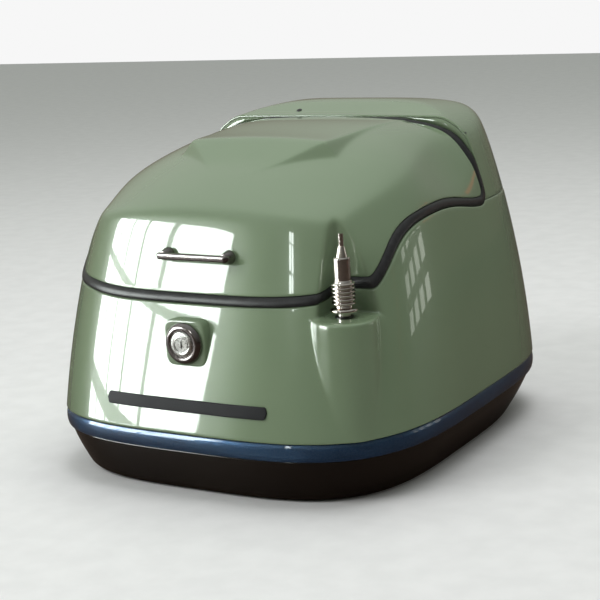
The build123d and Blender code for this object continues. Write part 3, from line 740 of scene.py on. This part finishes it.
# ---- turned hardware -----------------------------------------------------------------------------------
def lathe(name, profile, centre, axis, material, body, segments=96):
    """Turn a closed (radius, distance along axis) profile about an axis."""
    angle = np.linspace(0, 2 * np.pi, segments, endpoint=False)
    rows = []
    for radius, along in profile:
        ring = np.stack([radius * np.cos(angle), radius * np.sin(angle), np.full_like(angle, along)], -1)
        if axis == "-Y":
            ring = np.stack([ring[:, 0], -ring[:, 2], ring[:, 1]], -1)
        rows.append(ring + np.array(centre))
    return grid_object(name, rows, [material], body, wrap_rows=True)


def rounded(points, radius=0.5, steps=4):
    """Round the corners of an open profile."""
    points = [np.array(p, float) for p in points]
    result = [points[0]]
    for before, corner, after in zip(points, points[1:], points[2:]):
        room = min(np.linalg.norm(corner - before), np.linalg.norm(after - corner)) * 0.45
        cut = min(radius, room)
        a = corner + (before - corner) / max(np.linalg.norm(before - corner), 1e-6) * cut
        b = corner + (after - corner) / max(np.linalg.norm(after - corner), 1e-6) * cut
        for t in np.linspace(0, 1, steps + 1):
            result.append((1 - t) ** 2 * a + 2 * t * (1 - t) * corner + t * t * b)
    result.append(points[-1])
    return result


def build_lock():
    face = -PAD_Y
    centre = (0, 0, LOCK_Z)
    ring = rounded([
        (13.1, face - 28), (13.1, face + 4.9), (13.7, face + 5.9), (16.2, face + 6.2),
        (18.4, face + 5.2), (20.1, face + 3.2), (20.6, face + 1.6), (20.4, face + 0.05),
        (15.0, face + 0.05), (15.0, face - 28)], 0.9)
    bezel = lathe("lock_bezel_ring", ring, centre, "-Y", SMOKED, "case")
    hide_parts("lock_bezel")
    button = rounded([
        (7.1, face - 30), (7.1, face + 6.1), (7.7, face + 6.7), (8.3, face + 6.3), (9.0, face + 6.6),
        (11.6, face + 6.3), (12.6, face + 5.4), (12.95, face + 4.0), (12.95, face - 30)], 0.4)
    cap = lathe("lock_button_cap", button, centre, "-Y", SILVER, "button")
    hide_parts("lock_button")


def build_antenna():
    base = SHELF_Z + 0.05
    x, y = POST
    foot = rounded([
        (2.1, base + 1.1), (6.6, base + 1.1), (6.8, base + 5.0), (12.6, base + 5.6),
        (13.4, base + 6.6), (13.4, base + 8.2), (12.4, base + 9.2), (8.4, base + 10.0),
        (8.0, base + 11.9), (2.1, base + 11.9)], 0.5)
    thing = lathe("antenna_foot_turned", foot, (x, y, 0), "+Z", NICKEL, "case")
    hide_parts("antenna_foot")
    profile = [(2.1, base + 12.1), (9.0, base + 12.1)]
    for i in range(6):
        low = base + 13 + 3.6 * i
        profile += [
            (9.2, low - 0.2), (10.9, low + 0.1), (11.4, low + 0.7),
            (11.4, low + 1.4), (10.9, low + 2.0), (9.2, low + 2.3)]
    profile += [
        (9.0, base + 34.2), (8.0, base + 35.6), (8.0, base + 56.0), (7.3, base + 57.0), (2.1, base + 57.0)]
    thing = lathe("antenna_barrel_turned", rounded(profile, 0.35, 3), (x, y, 0), "+Z", NICKEL, "case")
    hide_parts("antenna_barrel")


def build_handle():
    """Pull handle: a flat-sided bar with turned-in ends on two stand-offs that widen towards the lid."""
    low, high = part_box("pull_handle")
    y = low.y / MM + 3.4
    z = (low.z + high.z) / 2 / MM
    half = (high.x - low.x) / 2 / MM
    middle = (high.x + low.x) / 2 / MM
    angle = np.linspace(0, 2 * np.pi, 40, endpoint=False)
    rows = []
    for t in np.linspace(-1, 1, 61):
        end = np.clip((abs(t) - 0.9) / 0.1, 0, 1)
        scale = math.sqrt(max(1 - end ** 2, 0.0)) * 0.98 + 0.02
        ring_y = y + 3.2 * scale * np.sign(np.cos(angle)) * np.abs(np.cos(angle)) ** 0.6 + 1.6 * end
        ring_z = z + 3.3 * scale * np.sign(np.sin(angle)) * np.abs(np.sin(angle)) ** 0.6
        rows.append(np.stack([np.full_like(angle, middle + half * t), ring_y, ring_z], -1))
    bar = grid_object("pull_handle_bar", rows, [SMOKED], "lid", flip=True)
    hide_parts("pull_handle")
    back = high.y / MM
    for side, tag in ((-1, "left"), (1, "right")):
        profile = rounded([(2.2, -back), (7.0, -back), (6.6, -back + 2.2), (4.4, -y - 1), (2.2, -y - 1)], 0.7)
        centre = (middle + side * (half - 7.0), 0, z)
        foot = lathe("pull_handle_foot_" + tag, profile, centre, "-Y", SMOKED, "lid", 48)


def build_badge():
    """Plain dark bar across the front wall."""
    low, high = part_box("badge_bar")
    z_mid = (low.z + high.z) / 2 / MM
    tall = (high.z - low.z) / 2 / MM
    half = high.x / MM
    ring = np.linspace(0, 2 * np.pi, 36, endpoint=False)
    rows = []
    for t in np.linspace(-1, 1, 141):
        end = np.clip((abs(t) - 0.965) / 0.035, 0, 1)
        scale = math.sqrt(max(1 - end ** 2, 0)) * 0.97 + 0.03
        z = z_mid + tall * 0.98 * scale * np.sign(np.sin(ring)) * np.abs(np.sin(ring)) ** 0.35
        stand = 1.0 + 0.95 * np.sign(np.cos(ring)) * np.abs(np.cos(ring)) ** 0.35
        x = np.full_like(ring, half * t)
        points = np.stack([x, np.zeros_like(x), z], -1)
        way = np.zeros_like(points)
        way[:, 1] = -1
        surface = cast(points, way, body_field, 0.0)
        surface[:, 1] -= stand
        rows.append(surface)
    badge = grid_object("badge_bar_skin", rows, [BADGE], "case")
    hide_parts("badge_bar")


def dress_cad_nodes():
    """Materials for the CAD nodes that stay visible."""
    choice = {
        "steel_zinc": ZINC, "hinge_black": HINGE, "inner_black": INNER, "liner_grey": FELT,
        "rubber_black": RUBBER, "lock_silver": SILVER, "bright_nickel": NICKEL,
        "cable_black": CABLE, "dark_chrome": SMOKED}
    slots = {part["node"]: part["material_slot"] for part in frame["record"]["subparts"]}
    for node, thing in frame["nodes"].items():
        material = choice.get(slots[node])
        if material is None:
            continue
        thing.data.materials.clear()
        thing.data.materials.append(material)


# ---- stage --------------------------------------------------------------------------------------------
def emitter(name, colour, strength, lighting):
    """Glow of a studio panel: strength is what paint reflects, lighting is what it casts."""
    material = bpy.data.materials.new(name)
    material.use_nodes = True
    nodes = material.node_tree.nodes
    links = material.node_tree.links
    nodes.clear()
    out = nodes.new("ShaderNodeOutputMaterial")
    glow = nodes.new("ShaderNodeEmission")
    glow.inputs["Color"].default_value = (*colour, 1)
    path = nodes.new("ShaderNodeLightPath")
    level = map_range(nodes, links, path.outputs["Is Glossy Ray"], lighting, strength)
    links.new(level, glow.inputs["Strength"])
    links.new(glow.outputs[0], out.inputs["Surface"])
    return material


def panel(name, centre, target, width, height, material, columns=1, rows=1, gap=0.04):
    """Glowing studio panel facing target, split by bars into panes."""
    centre = np.array(centre, float)
    facing = np.array(target, float) - centre
    facing /= np.linalg.norm(facing)
    right = np.cross(facing, (0, 0, 1))
    right /= np.linalg.norm(right)
    up = np.cross(right, facing)
    vertices = []
    faces = []
    for i in range(columns):
        for j in range(rows):
            x0 = -width / 2 + width * i / columns + gap
            x1 = -width / 2 + width * (i + 1) / columns - gap
            y0 = -height / 2 + height * j / rows + gap
            y1 = -height / 2 + height * (j + 1) / rows - gap
            start = len(vertices)
            for u, v in ((x0, y0), (x1, y0), (x1, y1), (x0, y1)):
                vertices.append(tuple(centre + right * u + up * v))
            faces.append([start, start + 1, start + 2, start + 3])
    mesh = bpy.data.meshes.new(name)
    mesh.from_pydata(vertices, [], faces)
    mesh.materials.append(material)
    thing = bpy.data.objects.new(name, mesh)
    bpy.context.scene.collection.objects.link(thing)
    thing.visible_camera = False
    thing.visible_shadow = False


def area_light(name, place, target, size, power, colour=(1, 1, 1)):
    data = bpy.data.lights.new(name, "AREA")
    data.shape = "RECTANGLE"
    data.size = size[0]
    data.size_y = size[1]
    data.energy = power
    data.color = colour
    thing = bpy.data.objects.new(name, data)
    thing.visible_glossy = False
    bpy.context.scene.collection.objects.link(thing)
    aim(thing, place, target)


def aim(thing, place, target, roll=0.0):
    """Turn a light or camera at place towards target, upright but for the roll."""
    place = np.array(place, float)
    back = place - np.array(target, float)
    back /= np.linalg.norm(back)
    right = np.cross((0, 0, 1), back)
    right /= np.linalg.norm(right)
    up = np.cross(back, right)
    turned_right = math.cos(roll) * right + math.sin(roll) * up
    turned_up = -math.sin(roll) * right + math.cos(roll) * up
    matrix = Matrix.Identity(4)
    for k in range(3):
        matrix[k][0] = turned_right[k]
        matrix[k][1] = turned_up[k]
        matrix[k][2] = back[k]
        matrix[k][3] = place[k]
    thing.matrix_world = matrix


def build_world():
    """Pale room seen by the camera; what the paint reflects falls off to a dim, warm surround."""
    world = bpy.data.worlds.new("studio")
    world.use_nodes = True
    nodes = world.node_tree.nodes
    links = world.node_tree.links
    place = nodes.new("ShaderNodeTexCoord")
    split = nodes.new("ShaderNodeSeparateXYZ")
    links.new(place.outputs["Generated"], split.inputs[0])
    ramp = nodes.new("ShaderNodeValToRGB")
    stops = ramp.color_ramp.elements
    stops[0].position = 0.0
    stops[0].color = (0.10, 0.085, 0.07, 1)
    stops[1].position = 1.0
    stops[1].color = (0.62, 0.66, 0.64, 1)
    middle = stops.new(0.52)
    middle.color = (0.16, 0.135, 0.11, 1)
    upper = stops.new(0.66)
    upper.color = (0.36, 0.37, 0.33, 1)
    links.new(map_range(nodes, links, split.outputs["Z"], 0.0, 1.0, start=-1.0), ramp.inputs["Fac"])
    dim = map_range(nodes, links, split.outputs["X"], 1.25, 0.30, start=-0.8, end=0.9)
    scaled = nodes.new("ShaderNodeVectorMath")
    scaled.operation = "SCALE"
    links.new(ramp.outputs["Color"], scaled.inputs[0])
    links.new(dim, scaled.inputs["Scale"])
    pale = (0.93, 0.93, 0.93)
    seen = colour_by_ray(nodes, links, "Is Camera Ray", scaled.outputs["Vector"], pale)
    links.new(seen, nodes["Background"].inputs["Color"])
    bpy.context.scene.world = world


def build_panels():
    """Windows, shelves and brown boards that show only as reflections, and the soft lights."""
    window = emitter("window_glow", (0.93, 1.0, 0.97), 17.0, 0.7)
    panel("window_front", (-1.95, -1.75, 0.72), (-0.05, -0.2, 0.2), 1.75, 0.95, window, 5, 2, 0.02)
    panel("window_low", (-2.05, -1.85, 0.10), (-0.05, -0.2, 0.2), 1.75, 0.22, window, 5, 1, 0.02)
    panel("window_small", (-0.10, -2.60, 1.22), (0.1, -0.2, 0.2), 0.16, 0.55, window, 2, 3, 0.008)
    shelf = emitter("shelf_glow", (0.80, 0.82, 0.74), 2.6, 0.3)
    panel("shelf_side", (2.2, 1.75, 0.45), (0.2, 0.1, 0.2), 1.1, 0.75, shelf, 4, 3, 0.05)
    rust = emitter("rust_glow", (0.42, 0.10, 0.06), 2.0, 0.2)
    panel("rust_post", (2.55, 0.75, 0.50), (0.2, 0.0, 0.2), 0.10, 1.3, rust)
    panel("rust_board", (1.6, 2.3, 0.95), (0.2, 0.1, 0.2), 0.5, 0.35, rust)
    area_light("key", (-1.2, -2.2, 2.2), (0, 0, 0.2), (1.4, 1.0), 34)
    area_light("top", (0.2, 0.4, 2.6), (0, 0, 0.2), (2.2, 1.6), 34)
    area_light("right", (2.6, 0.2, 1.3), (0, 0, 0.2), (0.6, 1.6), 3, (1.0, 0.93, 0.86))


def build_floor():
    """Pale floor that looks dark and warm in reflections."""
    material, nodes, links, shader = new_material("floor_pale")
    speck = add_noise(nodes, links, 30.0)
    pale = mix_colours(nodes, links, speck.outputs["Fac"], (0.80, 0.80, 0.80), (0.84, 0.84, 0.84))
    warm = (0.055, 0.032, 0.022)
    links.new(colour_by_ray(nodes, links, "Is Glossy Ray", pale, warm), shader.inputs["Base Color"])
    shader.inputs["Roughness"].default_value = 0.6
    reach = 6.0
    mesh = bpy.data.meshes.new("floor")
    corners = [(-reach, -reach, 0), (reach, -reach, 0), (reach, reach, 0), (-reach, reach, 0)]
    mesh.from_pydata(corners, [], [[0, 1, 2, 3]])
    mesh.materials.append(material)
    floor = bpy.data.objects.new("floor", mesh)
    floor.location.z = CAD_BOX[0][2] - 0.0005
    bpy.context.scene.collection.objects.link(floor)


def build_camera():
    data = bpy.data.cameras.new("camera")
    data.sensor_width = 36.0
    data.lens = CAMERA_LENS
    data.clip_end = 50.0
    camera = bpy.data.objects.new("camera", data)
    bpy.context.scene.collection.objects.link(camera)
    aim(camera, CAMERA_PLACE, CAMERA_TARGET, CAMERA_ROLL)
    bpy.context.scene.camera = camera
    bpy.context.scene.view_settings.view_transform = "Standard"


build_lid()
build_body()
build_deck()
build_pad()
build_arch()
build_arch_lip()
build_arch_plug()
build_seal()
build_base()
build_belt()
build_lock()
build_antenna()
build_handle()
build_badge()
dress_cad_nodes()
build_world()
build_floor()
build_panels()
build_camera()
